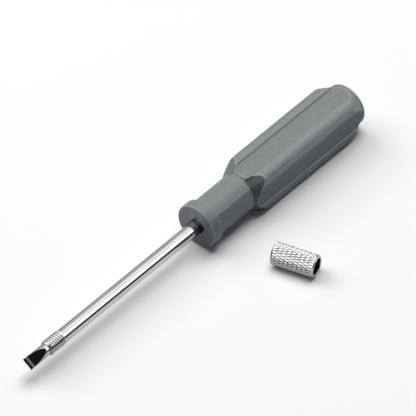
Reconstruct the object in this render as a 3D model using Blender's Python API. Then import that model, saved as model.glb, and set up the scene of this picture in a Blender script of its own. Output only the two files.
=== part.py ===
"""Slotted screwdriver with a screw-on guide sleeve lying beside it.

A chromed steel shank is pressed into a grey moulded handle by two flattened
wings. Behind its ground blade the shank has a rolled thread, which takes the
sleeve: a short steel tube, threaded at one end, that steadies a screw's head
in front of the blade.

The tool lies on a surface. The origin is the middle of the blade's end face,
+X runs along the shank to the butt and +Z is up. Sizes are in metres.
"""

import math

import bmesh
import bpy
from mathutils import Matrix, Vector

# Blade, ground on the nose of the shank
BLADE_TIP_THICKNESS = 0.0009
BLADE_LAND_LENGTH = 0.0018
BLADE_LAND_THICKNESS = 0.0013
BLADE_FLAT_LENGTH = 0.0094
BLADE_LEAN = math.radians(32.0)

# Rolled thread, behind a short plain stretch of the nose
THREAD_SETBACK = 0.0012
THREAD_LENGTH = 0.0090
THREAD_PITCH = 0.00106
THREAD_DIAMETER = 0.0064
THREAD_DEPTH = 0.0006
THREAD_CREST_SHARE = 0.2
THREAD_PLAY = 0.00015

# Shank, and the wings that lock it in the handle
SHANK_DIAMETER = 0.0060
SHANK_REACH = 0.1003
TAIL_CHAMFER = 0.0008
WING_SETBACK = 0.0030
WING_LENGTH = 0.0120
WING_REACH = 0.0025
WING_THICKNESS = 0.0025

# Handle, from the collar's front face to the butt
COLLAR_LENGTH = 0.0053
COLLAR_LIP = 0.0014
COLLAR_EDGE_ROUND = 0.0008
NECK_LENGTH = 0.0199
NECK_WALL = 0.0025
SHOULDER_LENGTH = 0.0069
GRIP_LENGTH = 0.0507
GRIP_CORNER_ROUND = 0.0030
TAPER_LENGTH = 0.00655
BUTT_INSET = 0.0005
BUTT_RIM_LENGTH = 0.00155
BUTT_EDGE_ROUND = 0.0014

# Recessed panel in each flat of the grip
PANEL_DEPTH = 0.0007
PANEL_LAND = 0.00165
PANEL_WALL_RUN = 0.0012
PANEL_SETBACK = 0.0015

# Socket in the handle, and the pocket at its mouth
SOCKET_GAP = 0.0003
SOCKET_END_GAP = 0.0010
SOCKET_FLOOR = 0.0363
MOUTH_LONG_MARGIN = 0.0012
MOUTH_SIDE_MARGIN = 0.00075
MOUTH_DEPTH = 0.0010

# Guide sleeve, lying beside the handle on the same surface
GUIDE_DEPTH = 0.0095
GUIDE_RELIEF = 0.0002
SLEEVE_WALL = 0.0012
SLEEVE_EDGE = 0.0004
SLEEVE_FROM_COLLAR = 0.0157
SLEEVE_FROM_GRIP = 0.0286
SLEEVE_TURN = math.radians(105.9)

# Facets
TURNED_SIDES = 48
SHANK_SIDES = 24
STEPS_PER_TURN = 6
ARC_STEPS = 4
SMOOTH_ANGLE = math.radians(35.0)
CUT_MARGIN = 0.0020
LARGEST_ROUND_SHARE = 0.9

# Shank and sleeve sizes that follow from the ones above
NOSE_DIAMETER = THREAD_DIAMETER - 2 * THREAD_DEPTH
THREAD_START = BLADE_FLAT_LENGTH + THREAD_SETBACK
WING_WIDTH = SHANK_DIAMETER + 2 * WING_REACH
GUIDE_BORE = THREAD_DIAMETER + 2 * (THREAD_PLAY + GUIDE_RELIEF)
SLEEVE_DIAMETER = GUIDE_BORE + 2 * SLEEVE_WALL
SLEEVE_LENGTH = GUIDE_DEPTH + THREAD_LENGTH

# Handle sizes: the collar is as wide as the grip, so that both lie on the surface
NECK_RADIUS = WING_WIDTH / 2 + SOCKET_GAP + NECK_WALL
REST_HEIGHT = NECK_RADIUS + COLLAR_LIP
CORNER_REACH = REST_HEIGHT * math.sqrt(2) - GRIP_CORNER_ROUND * (math.sqrt(2) - 1)
BUTT_RADIUS = REST_HEIGHT - BUTT_INSET
PANEL_HALF_WIDTH = REST_HEIGHT - GRIP_CORNER_ROUND - PANEL_LAND - PANEL_WALL_RUN
PARTING_ANGLE = math.radians(135.0)

# Handle stations along +X
NECK_START = SHANK_REACH + COLLAR_LENGTH
SHOULDER_START = NECK_START + NECK_LENGTH
GRIP_START = SHOULDER_START + SHOULDER_LENGTH
GRIP_END = GRIP_START + GRIP_LENGTH
BUTT_START = GRIP_END + TAPER_LENGTH
BUTT_END = BUTT_START + BUTT_RIM_LENGTH + BUTT_EDGE_ROUND
SOCKET_END = BUTT_END - SOCKET_FLOOR
TAIL_END = SOCKET_END - SOCKET_END_GAP


def clear_scene():
    """Remove every object of the scene that this file starts in."""
    for old in list(bpy.data.objects):
        bpy.data.objects.remove(old, do_unlink=True)


def make_material(name, color, roughness, metallic):
    """Return a Principled material."""
    material = bpy.data.materials.new(name)
    material.use_nodes = True
    shader = material.node_tree.nodes["Principled BSDF"]
    shader.inputs["Base Color"].default_value = (*color, 1.0)
    shader.inputs["Roughness"].default_value = roughness
    shader.inputs["Metallic"].default_value = metallic
    return material


def make_empty(name, location, turn=0.0):
    """Return an empty that carries pieces, turned about +Z."""
    empty = bpy.data.objects.new(name, None)
    empty.location = location
    empty.rotation_euler = (0.0, 0.0, turn)
    bpy.context.scene.collection.objects.link(empty)
    return empty


def make_object(name, shape, material, parent=None):
    """Turn a bmesh into a smooth-shaded object and free the bmesh."""
    mesh = bpy.data.meshes.new(name)
    bmesh.ops.recalc_face_normals(shape, faces=shape.faces[:])
    shape.to_mesh(mesh)
    shape.free()
    mesh.shade_smooth()
    mesh.set_sharp_from_angle(angle=SMOOTH_ANGLE)
    mesh.materials.append(material)
    piece = bpy.data.objects.new(name, mesh)
    bpy.context.scene.collection.objects.link(piece)
    piece.parent = parent
    return piece


def apply_cutter(target, cutter, operation):
    """Combine a hidden helper shape with a piece."""
    cutter.hide_render = True
    cutter.display_type = "WIRE"
    modifier = target.modifiers.new(cutter.name, "BOOLEAN")
    modifier.operation = operation
    modifier.solver = "EXACT"
    modifier.material_mode = "TRANSFER"
    modifier.object = cutter


def ring(x, radius, sides):
    """Return a circle of points about the X axis; radius may depend on the angle."""
    points = []
    for step in range(sides):
        angle = 2 * math.pi * step / sides
        reach = radius(angle) if callable(radius) else radius
        points.append(Vector((x, reach * math.cos(angle), reach * math.sin(angle))))
    return points


def loft(rings, tube=False):
    """Skin rings of equal count, with flat ends or, for a tube, back to the first ring."""
    shape = bmesh.new()
    loops = [[shape.verts.new(point) for point in points] for points in rings]
    spans = list(zip(loops, loops[1:]))
    if tube:
        spans.append((loops[-1], loops[0]))
    else:
        shape.faces.new(reversed(loops[0]))
        shape.faces.new(loops[-1])
    for near, far in spans:
        for index, corner in enumerate(near):
            after = (index + 1) % len(near)
            shape.faces.new((corner, near[after], far[after], far[index]))
    return shape


def quarter_round(x, radius, size, first, last):
    """Return (x, r) points of a turned edge round, centred on (x, radius)."""
    points = []
    for step in range(ARC_STEPS + 1):
        angle = first + (last - first) * step / ARC_STEPS
        points.append((x + size * math.cos(angle), radius + size * math.sin(angle)))
    return points


def box(x_range, y_half, z_half):
    """Return a box about the X axis."""
    corners = [(-y_half, -z_half), (y_half, -z_half), (y_half, z_half), (-y_half, z_half)]
    return loft([[Vector((x, y, z)) for y, z in corners] for x in x_range])


def thread_height(x, angle):
    """Return the thread's height, 0 at its root and 1 at its crest, for one helix."""
    turn = (x - THREAD_START) / THREAD_PITCH - angle / (2 * math.pi)
    from_crest = abs(turn - math.floor(turn) - 0.5) * 2
    return min(1.0, max(0.0, (1.0 - from_crest) / (1.0 - THREAD_CREST_SHARE)))


def thread_rings(start, length, lead_in, lead_out, play, sides):
    """Return the rings of a thread that fades into the radii before and after it."""
    root = THREAD_DIAMETER / 2 - THREAD_DEPTH + play
    count = math.ceil(length / THREAD_PITCH * STEPS_PER_TURN)
    rings = []
    for step in range(count + 1):
        x = start + length * step / count
        fade_in = min(1.0, (x - start) / THREAD_PITCH)
        fade_out = min(1.0, (start + length - x) / THREAD_PITCH)

        def radius(angle):
            full = root + THREAD_DEPTH * thread_height(x, angle)
            faded = lead_in + (full - lead_in) * fade_in
            return lead_out + (faded - lead_out) * fade_out

        rings.append(ring(x, radius, sides))
    return rings


def build_shank(chrome, black, parent):
    """Build the steel shank: blade, nose, thread, round bar and wings."""
    nose = NOSE_DIAMETER / 2
    bar = SHANK_DIAMETER / 2
    rings = [ring(0.0, nose, SHANK_SIDES)]
    rings += thread_rings(THREAD_START, THREAD_LENGTH, nose, bar, 0.0, SHANK_SIDES)
    rings.append(ring(TAIL_END - TAIL_CHAMFER, bar, SHANK_SIDES))
    rings.append(ring(TAIL_END, bar - TAIL_CHAMFER, SHANK_SIDES))
    shank = make_object("shank", loft(rings), chrome, parent)

    wings_from = SHANK_REACH + WING_SETBACK
    wings = box((wings_from, wings_from + WING_LENGTH), WING_WIDTH / 2, WING_THICKNESS / 2)
    turn_about_x(wings, PARTING_ANGLE)
    apply_cutter(shank, make_object("shank_wings", wings, chrome, parent), "UNION")

    for side, name in ((0.0, "blade_flat_front"), (math.pi, "blade_flat_back")):
        cutter = blade_cutter()
        turn_about_x(cutter, BLADE_LEAN + side)
        apply_cutter(shank, make_object(name, cutter, black, parent), "DIFFERENCE")


def blade_cutter():
    """Return the wedge above one flat of the blade, for a flat that faces up."""
    top = NOSE_DIAMETER
    tip = BLADE_TIP_THICKNESS / 2
    land = BLADE_LAND_THICKNESS / 2
    rise = (NOSE_DIAMETER / 2 - land) / (BLADE_FLAT_LENGTH - BLADE_LAND_LENGTH)
    end = BLADE_FLAT_LENGTH + (top - NOSE_DIAMETER / 2) / rise
    tip_slope = (land - tip) / BLADE_LAND_LENGTH
    outline = [
        (-CUT_MARGIN, tip - CUT_MARGIN * tip_slope),
        (BLADE_LAND_LENGTH, land),
        (end, top),
        (-CUT_MARGIN, top),
    ]
    return loft([[Vector((x, y, z)) for x, z in outline] for y in (-NOSE_DIAMETER, NOSE_DIAMETER)])


def turn_about_x(shape, angle):
    """Turn a bmesh about the tool's axis."""
    bmesh.ops.rotate(shape, cent=Vector(), matrix=Matrix.Rotation(angle, 3, "X"), verts=shape.verts[:])


def handle_profile():
    """Return the turned outline of the handle as (x, r) points from face to butt."""
    collar = REST_HEIGHT
    edge = min(COLLAR_EDGE_ROUND, COLLAR_LIP * LARGEST_ROUND_SHARE, COLLAR_LENGTH / 2 * LARGEST_ROUND_SHARE)
    end = BUTT_EDGE_ROUND
    points = quarter_round(SHANK_REACH + edge, collar - edge, edge, math.pi, math.pi / 2)
    points += quarter_round(NECK_START - edge, collar - edge, edge, math.pi / 2, 0.0)
    points.append((NECK_START, NECK_RADIUS))
    points.append((SHOULDER_START, NECK_RADIUS))
    points.append((GRIP_START, CORNER_REACH))
    points.append((GRIP_END, CORNER_REACH))
    points.append((BUTT_START, BUTT_RADIUS))
    points += quarter_round(BUTT_END - end, BUTT_RADIUS - end, end, math.pi / 2, 0.0)
    return points


def rounded_square(half, corner_round, x):
    """Return the grip's section at x: a square with round corners, from the middle of a flat."""
    straight = half - corner_round
    points = []
    for side in range(4):
        turn = Matrix.Rotation(side * math.pi / 2, 3, "X")
        outline = [(half, 0.0)]
        for step in range(ARC_STEPS + 1):
            angle = math.pi / 2 * step / ARC_STEPS
            corner = (straight + corner_round * math.cos(angle), straight + corner_round * math.sin(angle))
            outline.append(corner)
        points += [turn @ Vector((x, y, z)) for y, z in outline]
    return points


def grip_trimmer():
    """Return a square frame that trims the turned grip to its four flats."""
    x_near = SHOULDER_START
    x_far = BUTT_END + CUT_MARGIN
    outside = CORNER_REACH + 2 * CUT_MARGIN
    rings = [
        rounded_square(outside, GRIP_CORNER_ROUND, x_near),
        rounded_square(outside, GRIP_CORNER_ROUND, x_far),
        rounded_square(REST_HEIGHT, GRIP_CORNER_ROUND, x_far),
        rounded_square(REST_HEIGHT, GRIP_CORNER_ROUND, x_near),
    ]
    return loft(rings, tube=True)


def panel_outline(half_width, z):
    """Return a panel's outline at height z: round in front and square at the butt."""
    centre = SHOULDER_START + PANEL_SETBACK + PANEL_HALF_WIDTH
    far = BUTT_START
    points = [Vector((far, half_width, z))]
    steps = 3 * ARC_STEPS
    for step in range(steps + 1):
        angle = math.pi / 2 + math.pi * step / steps
        points.append(Vector((centre + half_width * math.cos(angle), half_width * math.sin(angle), z)))
    points.append(Vector((far, -half_width, z)))
    return points


def panel_cutter():
    """Return the shape that sinks a panel with sloping walls into the top flat."""
    floor = REST_HEIGHT - PANEL_DEPTH
    slope = PANEL_WALL_RUN / PANEL_DEPTH
    top = REST_HEIGHT + CUT_MARGIN
    wide = PANEL_HALF_WIDTH + (top - floor) * slope
    return loft([panel_outline(PANEL_HALF_WIDTH, floor), panel_outline(wide, top)])


def build_handle(plastic, parent):
    """Build the moulded handle with its flats, panels and socket."""
    outer = loft([ring(x, radius, TURNED_SIDES) for x, radius in handle_profile()])
    handle = make_object("handle", outer, plastic, parent)
    apply_cutter(handle, make_object("grip_trim", grip_trimmer(), plastic, parent), "DIFFERENCE")

    for flat in range(4):
        cutter = panel_cutter()
        turn_about_x(cutter, flat * math.pi / 2)
        apply_cutter(handle, make_object(f"panel_{flat + 1}_cut", cutter, plastic, parent), "DIFFERENCE")

    x_open = SHANK_REACH - CUT_MARGIN
    bore_radius = SHANK_DIAMETER / 2 + SOCKET_GAP
    bore = loft([ring(x, bore_radius, SHANK_SIDES) for x in (x_open, SOCKET_END)])
    slot_end = SHANK_REACH + WING_SETBACK + WING_LENGTH + SOCKET_GAP
    slot_long = WING_WIDTH / 2 + SOCKET_GAP
    slot_side = WING_THICKNESS / 2 + SOCKET_GAP
    slot = box((x_open, slot_end), slot_long, slot_side)
    mouth_end = SHANK_REACH + MOUTH_DEPTH
    mouth = box((x_open, mouth_end), slot_long + MOUTH_LONG_MARGIN, slot_side + MOUTH_SIDE_MARGIN)
    for name, cutter in (("bore_cut", bore), ("wing_slot_cut", slot), ("mouth_cut", mouth)):
        if name != "bore_cut":
            turn_about_x(cutter, PARTING_ANGLE)
        apply_cutter(handle, make_object(name, cutter, plastic, parent), "DIFFERENCE")


def build_sleeve(steel, parent):
    """Build the guide sleeve about its own X axis, with its mouth at the lower end."""
    mouth = -SLEEVE_LENGTH / 2
    far = SLEEVE_LENGTH / 2
    outside = SLEEVE_DIAMETER / 2
    guide = GUIDE_BORE / 2
    step = mouth + GUIDE_DEPTH
    entry = THREAD_DIAMETER / 2 + THREAD_PLAY
    rings = [
        ring(mouth, outside - SLEEVE_EDGE, SHANK_SIDES),
        ring(mouth + SLEEVE_EDGE, outside, SHANK_SIDES),
        ring(far - SLEEVE_EDGE, outside, SHANK_SIDES),
        ring(far, outside - SLEEVE_EDGE, SHANK_SIDES),
    ]
    rings += reversed(thread_rings(step, far - step, entry, entry, THREAD_PLAY, SHANK_SIDES))
    rings.append(ring(step - (guide - entry), guide, SHANK_SIDES))
    rings.append(ring(mouth, guide, SHANK_SIDES))
    make_object("sleeve", loft(rings, tube=True), steel, parent)


def main():
    """Build the tool and its sleeve."""
    clear_scene()
    plastic = make_material("grey_plastic", (0.235, 0.25, 0.255), 0.5, 0.0)
    chrome = make_material("chromed_steel", (0.78, 0.79, 0.80), 0.12, 1.0)
    black = make_material("blackened_steel", (0.012, 0.012, 0.014), 0.3, 0.6)
    nickel = make_material("nickel_steel", (0.62, 0.62, 0.63), 0.28, 1.0)

    tool_frame = make_empty("tool_frame", (0.0, 0.0, 0.0))
    sleeve_height = SLEEVE_DIAMETER / 2 - REST_HEIGHT
    sleeve_place = (SHANK_REACH + SLEEVE_FROM_COLLAR, -REST_HEIGHT - SLEEVE_FROM_GRIP, sleeve_height)
    sleeve_frame = make_empty("sleeve_frame", sleeve_place, SLEEVE_TURN)

    build_shank(chrome, black, tool_frame)
    build_handle(plastic, tool_frame)
    build_sleeve(nickel, sleeve_frame)


main()
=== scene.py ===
"""Looks of a slotted screwdriver and the guide sleeve that lies beside it.

The handle, the shank and the sleeve are each one closed mesh, lofted from rings
about the piece's own axis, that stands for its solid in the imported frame. Thread
and knurl are raised on those meshes by node trees. Sizes are in metres.
"""

import logging
import math
from dataclasses import astuple, dataclass, field
from enum import Enum

import bmesh
import bpy
import numpy as np
from bpy.types import ColorRamp, Material, Mesh, Node, NodeSocket, NodeTree, Object
from mathutils import Matrix, Vector


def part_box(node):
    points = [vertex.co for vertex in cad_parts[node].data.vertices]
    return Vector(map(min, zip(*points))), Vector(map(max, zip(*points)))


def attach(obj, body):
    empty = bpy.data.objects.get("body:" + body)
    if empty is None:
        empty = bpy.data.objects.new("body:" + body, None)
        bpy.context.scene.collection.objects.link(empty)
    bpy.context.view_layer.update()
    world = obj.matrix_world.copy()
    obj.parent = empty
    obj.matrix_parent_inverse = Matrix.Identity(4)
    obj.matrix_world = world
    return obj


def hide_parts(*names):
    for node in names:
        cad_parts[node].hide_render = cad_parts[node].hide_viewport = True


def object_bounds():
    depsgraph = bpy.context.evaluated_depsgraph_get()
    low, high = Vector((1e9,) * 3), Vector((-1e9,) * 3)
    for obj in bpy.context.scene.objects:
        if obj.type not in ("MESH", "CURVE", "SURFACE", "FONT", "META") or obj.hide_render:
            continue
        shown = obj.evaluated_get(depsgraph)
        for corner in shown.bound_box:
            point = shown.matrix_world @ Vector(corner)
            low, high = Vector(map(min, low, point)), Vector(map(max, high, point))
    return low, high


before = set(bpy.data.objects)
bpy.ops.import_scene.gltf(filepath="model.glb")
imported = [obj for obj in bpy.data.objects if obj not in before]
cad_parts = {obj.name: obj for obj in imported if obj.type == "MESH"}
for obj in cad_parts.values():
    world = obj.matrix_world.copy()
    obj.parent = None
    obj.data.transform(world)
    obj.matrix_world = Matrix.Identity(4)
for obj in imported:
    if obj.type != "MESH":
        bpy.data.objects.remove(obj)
CAD_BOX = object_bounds()
CENTRE = (CAD_BOX[0] + CAD_BOX[1]) / 2
DARK_FACE = "dark_face"
FULL_TURN = 2 * math.pi
QUARTER_TURN = math.pi / 2
EIGHTH_TURN = math.pi / 4
PARTING = math.radians(135.0)
TINY = 1e-6
LOG = logging.getLogger("screwdriver")

Array = np.ndarray
Values = float | Array
Span = tuple[float, float]
Triple = tuple[float, float, float]
Input = float | str | NodeSocket | tuple | Vector
Inputs = dict[int | str, Input]
Sockets = bpy.types.bpy_prop_collection


class Body(Enum):
    """Bodies of the frame that the pieces ride on."""

    DRIVER = "driver"
    SLEEVE = "sleeve"


class Slot(Enum):
    """Material slots of the record, one given to each piece."""

    PLASTIC = "handle_plastic"
    CHROME = "chromed_steel"
    NICKEL = "nickel_steel"


class Mark(Enum):
    """Names of the point attributes that the meshes carry for their finishes and trees."""

    THREAD = "thread_relief"
    KNURL = "knurl_relief"
    # Lightens: worn edges and lands, plus painted highlight and painted light on the handle.
    WEAR = "edge_wear"
    # Darkens: mostly painted shade, plus duller plating in grooves and darker sides of the grip.
    GRIME = "grime"


def smooth_min(a: Array, b: Array, size: float) -> Array:
    """Blend two heights to the lower one, with a round where they differ by less than a size."""
    share = np.maximum(size - np.abs(a - b), 0.0) / size
    return np.minimum(a, b) - share * share * size / 4


def smooth_max(a: Array, b: Array, size: float) -> Array:
    """Blend two heights to the higher one, with a fillet where they differ by less than a size."""
    return -smooth_min(-a, -b, size)


def nearness(a: Array, b: Values, size: float) -> Array:
    """Return 1 where two heights are equal, falling to 0 where they differ by a size."""
    return np.clip(1.0 - np.abs(a - b) / size, 0.0, 1.0)


def smooth_step(value: Values) -> Array:
    """Return an S-shaped ramp from 0 to 1."""
    held = np.clip(value, 0.0, 1.0)
    return held * held * (3 - 2 * held)


def bell(value: Array, width: float) -> Array:
    """Return a bell curve of a given width, which is 1 at 0."""
    return np.exp(-((value / width) ** 2))


def slot_edges(angle: Array, long: float, side: float) -> tuple[Array, Array]:
    """Return the radii of a slot's ends and flanks, by angles from its axis and half its two widths."""
    ends = long / np.maximum(np.abs(np.cos(angle)), TINY)
    return ends, side / np.maximum(np.abs(np.sin(angle)), TINY)


@dataclass
class Loft:
    """Rings of points about the X axis that together make one closed mesh."""

    angles: Array
    rings: list[Array] = field(default_factory=list)
    marks: dict[Mark, list[Array]] = field(default_factory=dict)
    dark: list[Array] = field(default_factory=list)

    def add(self, x: Values, y: Array, z: Array, dark: bool | Array = False, **marks: Values) -> None:
        """Add one ring.

        Args:
            x: Place along the axis, one for the ring or one for each point.
            y: First coordinate across the axis, for each point.
            z: Second coordinate across the axis, for each point.
            dark: Whether the faces from this ring to the next take the dark material.
            marks: Values of each point's attributes, by the mark's name.
        """
        self.rings.append(np.column_stack([np.broadcast_to(x, self.sides), y, z]))
        self.dark.append(np.broadcast_to(dark, self.sides))
        for mark in Mark:
            given = marks.get(mark.name.lower(), 0.0)
            self.marks.setdefault(mark, []).append(np.broadcast_to(given, self.sides))

    @property
    def sides(self) -> int:
        """Return the number of points in each ring."""
        return len(self.angles)

    def turn(self, x: Values, radius: Values, **rest: bool | Values) -> None:
        """Add one ring that is given by its radii, at the loft's angles about the axis."""
        self.add(x, radius * np.cos(self.angles), radius * np.sin(self.angles), **rest)

    def mesh(self, name: str, tube: bool) -> Mesh:
        """Skin the rings.

        Args:
            name: Name of the mesh.
            tube: Whether the last ring joins the first one, in place of flat ends.

        Returns:
            The closed mesh, with its marks as attributes.
        """
        count = len(self.rings)
        spans = count if tube else count - 1
        index = np.arange(self.sides)
        after = (index + 1) % self.sides
        faces: list[tuple[int, ...]] = []
        for near in range(spans):
            a = near * self.sides
            b = (near + 1) % count * self.sides
            quads = np.column_stack([a + index, a + after, b + after, b + index])
            faces.extend(map(tuple, quads.tolist()))
        dark = np.concatenate(self.dark[:spans])
        if not tube:
            faces.append(tuple(reversed(range(self.sides))))
            faces.append(tuple(range((count - 1) * self.sides, count * self.sides)))
            dark = np.concatenate([dark, [self.dark[0].all(), self.dark[-1].all()]])
        mesh = bpy.data.meshes.new(name)
        mesh.from_pydata(np.concatenate(self.rings).tolist(), [], faces)
        for mark, values in self.marks.items():
            store = mesh.attributes.new(mark.value, "FLOAT", "POINT")
            store.data.foreach_set("value", np.concatenate(values).astype(np.float32))
        store = mesh.attributes.new(DARK_FACE, "BOOLEAN", "FACE")
        store.data.foreach_set("value", dark)
        return mesh


@dataclass
class TreeBuilder:
    """Adds nodes to a tree and links them."""

    tree: NodeTree

    def fill(self, node: Node, inputs: Inputs) -> None:
        """Link outputs to a node's inputs, or set the inputs to constants.

        Args:
            node: The node.
            inputs: Outputs and constants, by the input's name or number.
        """
        for key, value in inputs.items():
            if isinstance(value, NodeSocket):
                self.tree.links.new(value, node.inputs[key])
            else:
                node.inputs[key].default_value = value

    def node(self, kind: str, inputs: Inputs, **settings: bool | str) -> Node:
        """Add a node.

        Args:
            kind: Blender's name of the node.
            inputs: Outputs and constants that go into the node.
            settings: The node's own settings.

        Returns:
            The node.
        """
        made = self.tree.nodes.new(kind)
        for name, value in settings.items():
            setattr(made, name, value)
        self.fill(made, inputs)
        return made

    def out(self, kind: str, inputs: Inputs, output: int | str = 0, **settings: bool | str) -> NodeSocket:
        """Add a node and return one of its outputs."""
        return self.node(kind, inputs, **settings).outputs[output]

    def math(self, operation: str, *values: Input, clamp: bool = False) -> NodeSocket:
        """Return the result of a Math node, held between 0 and 1 if it is clamped."""
        return self.out("ShaderNodeMath", dict(enumerate(values)), operation=operation, use_clamp=clamp)

    def vector(self, operation: str, inputs: Inputs, output: int | str = 0) -> NodeSocket:
        """Return the result of a Vector Math node."""
        return self.out("ShaderNodeVectorMath", inputs, output, operation=operation)

    def axes(self, vector: NodeSocket) -> Sockets:
        """Return the parts of a vector along X, Y and Z."""
        return self.node("ShaderNodeSeparateXYZ", {0: vector}).outputs

    def place(self, kind: str = "Object") -> NodeSocket:
        """Return the coordinates of what is shaded, which are the object's own by default."""
        return self.out("ShaderNodeTexCoord", {}, kind)

    def range(self, value: Input, span: Span, ends: Span = (0.0, 1.0)) -> NodeSocket:
        """Map a value from one range to another, which it is held inside, in an S-shaped ramp."""
        inputs = dict(zip(("Value", "From Min", "From Max", "To Min", "To Max"), (value, *span, *ends)))
        return self.out("ShaderNodeMapRange", inputs, "Result", interpolation_type="SMOOTHSTEP")

    def mix(self, share: Input, first: Input, second: Input) -> NodeSocket:
        """Mix two colours.

        Args:
            share: How much of the second colour there is.
            first: First colour, as an output or RGBA values.
            second: Second colour, as an output or RGBA values.

        Returns:
            The mixed colour.
        """
        made = self.node("ShaderNodeMix", {}, data_type="RGBA")
        colors = [number for number, socket in enumerate(made.inputs) if socket.type == "RGBA"]
        self.fill(made, {0: share, colors[0]: first, colors[1]: second})
        return next(socket for socket in made.outputs if socket.type == "RGBA")


@dataclass
class ReliefTree:
    """A node tree that moves the points of a round mesh in or out, by a rule about its X axis."""

    name: str
    sizes: tuple[str, ...]
    mark: Mark

    def build(self) -> NodeTree:
        """Build the tree.

        Returns:
            The tree, which ends in Realize Instances and Set Material.
        """
        tree = bpy.data.node_groups.new(self.name, "GeometryNodeTree")
        sockets = [("Geometry", "OUTPUT", "Geometry"), ("Geometry", "INPUT", "Geometry")]
        sockets += [(size, "INPUT", "Float") for size in self.sizes]
        sockets += [("Finish", "INPUT", "Material")]
        for name, side, kind in sockets:
            tree.interface.new_socket(name, in_out=side, socket_type=f"NodeSocket{kind}")
        make = TreeBuilder(tree)
        given = make.node("NodeGroupInput", {}).outputs
        axes = make.axes(make.out("GeometryNodeInputPosition", {}))
        angle = make.math("ARCTAN2", axes["Z"], axes["Y"])
        shape = self.height(make, given, axes["X"], make.math("DIVIDE", angle, FULL_TURN))
        height = make.math("MULTIPLY", shape, given["Depth"])
        mark = {"Name": self.mark.value}
        fade = make.out("GeometryNodeInputNamedAttribute", mark, "Attribute", data_type="FLOAT")
        across = make.out("ShaderNodeCombineXYZ", {"Y": axes["Y"], "Z": axes["Z"]})
        outward = make.vector("NORMALIZE", {0: across})
        offset = make.vector("SCALE", {0: outward, "Scale": make.math("MULTIPLY", height, fade)})
        moved = make.out("GeometryNodeSetPosition", {"Geometry": given["Geometry"], "Offset": offset})
        real = make.out("GeometryNodeRealizeInstances", {0: moved})
        dressed = make.out("GeometryNodeSetMaterial", {"Geometry": real, "Material": given["Finish"]})
        make.node("NodeGroupOutput", {0: dressed})
        return tree

    def height(self, make: TreeBuilder, given: Sockets, x: Input, turn: Input) -> NodeSocket:
        """Return the height of a point as a share of the depth, from its place along and round the axis."""
        raise NotImplementedError

    @staticmethod
    def ridge(make: TreeBuilder, phase: Input, flat: Input) -> NodeSocket:
        """Return a ridge once each whole phase: 0 in its valley and 1 on its flat crest.

        Args:
            make: Builder of the tree.
            phase: Phase of the point, in whole turns.
            flat: Share of the ridge that its crest takes.

        Returns:
            Height of the ridge.
        """
        from_middle = make.math("SUBTRACT", make.math("FRACT", phase), 0.5)
        from_crest = make.math("MULTIPLY", make.math("ABSOLUTE", from_middle), 2.0)
        slope = make.math("SUBTRACT", 1.0, flat)
        return make.math("DIVIDE", make.math("SUBTRACT", 1.0, from_crest), slope, clamp=True)

    def apply(self, piece: Object, finish: Material, *sizes: float) -> None:
        """Run the tree on a piece and keep the result as the piece's plain mesh.

        Args:
            piece: Object with the mesh that is moved.
            finish: Material that the tree sets.
            sizes: Values of the tree's named sizes, in their order.
        """
        modifier = piece.modifiers.new(self.name, "NODES")
        modifier.node_group = self.build()
        values: dict[str, object] = {**dict(zip(self.sizes, sizes)), "Finish": finish}
        for item in modifier.node_group.interface.items_tree:
            if item.in_out == "INPUT" and item.name in values:
                modifier[item.identifier] = values[item.name]
        graph = bpy.context.evaluated_depsgraph_get()
        result = bpy.data.meshes.new_from_object(piece.evaluated_get(graph))
        old = piece.data
        name = old.name
        piece.modifiers.remove(modifier)
        piece.data = result
        bpy.data.meshes.remove(old)
        result.name = name


class ThreadTree(ReliefTree):
    """One right-hand ridge that climbs round the axis."""

    def height(self, make: TreeBuilder, given: Sockets, x: Input, turn: Input) -> NodeSocket:
        """Return the thread's height, from 0 in its groove to 1 on its crest."""
        along = make.math("DIVIDE", make.math("SUBTRACT", x, given["Start"]), given["Pitch"])
        return self.ridge(make, make.math("SUBTRACT", along, turn), given["Crest"])


class KnurlTree(ReliefTree):
    """Two crossing sets of grooves that leave rows of small pyramids."""

    def height(self, make: TreeBuilder, given: Sockets, x: Input, turn: Input) -> NodeSocket:
        """Return the knurl's height.

        Args:
            make: Builder of the tree.
            given: Outputs of the tree's sizes.
            x: Place of a point along the axis.
            turn: Its place round the axis, in turns.

        Returns:
            Height, from -1 in the grooves to 0 on the pyramids' tips.
        """
        along = make.math("DIVIDE", x, given["Row"])
        around = make.math("MULTIPLY", turn, given["Count"])
        phases = (make.math(way, along, around) for way in ("SUBTRACT", "ADD"))
        ridges = (self.ridge(make, phase, given["Crest"]) for phase in phases)
        return make.math("SUBTRACT", make.math("MINIMUM", *ridges), 1.0)


THREAD = ThreadTree("thread_rule", ("Start", "Pitch", "Depth", "Crest"), Mark.THREAD)
KNURL = KnurlTree("knurl_rule", ("Row", "Count", "Depth", "Crest"), Mark.KNURL)


@dataclass(frozen=True)
class Grain:
    """Noise on an object's own coordinates: features per metre, octaves and fineness along each axis."""

    scale: float
    octaves: float
    stretch: Triple = (1.0, 1.0, 1.0)

    def add(self, make: TreeBuilder) -> NodeSocket:
        """Add the noise, from 0 to 1, to a material's tree."""
        place = make.out("ShaderNodeMapping", {"Vector": make.place(), "Scale": self.stretch})
        return make.out("ShaderNodeTexNoise", {0: place, "Scale": self.scale, "Detail": self.octaves})


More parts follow.
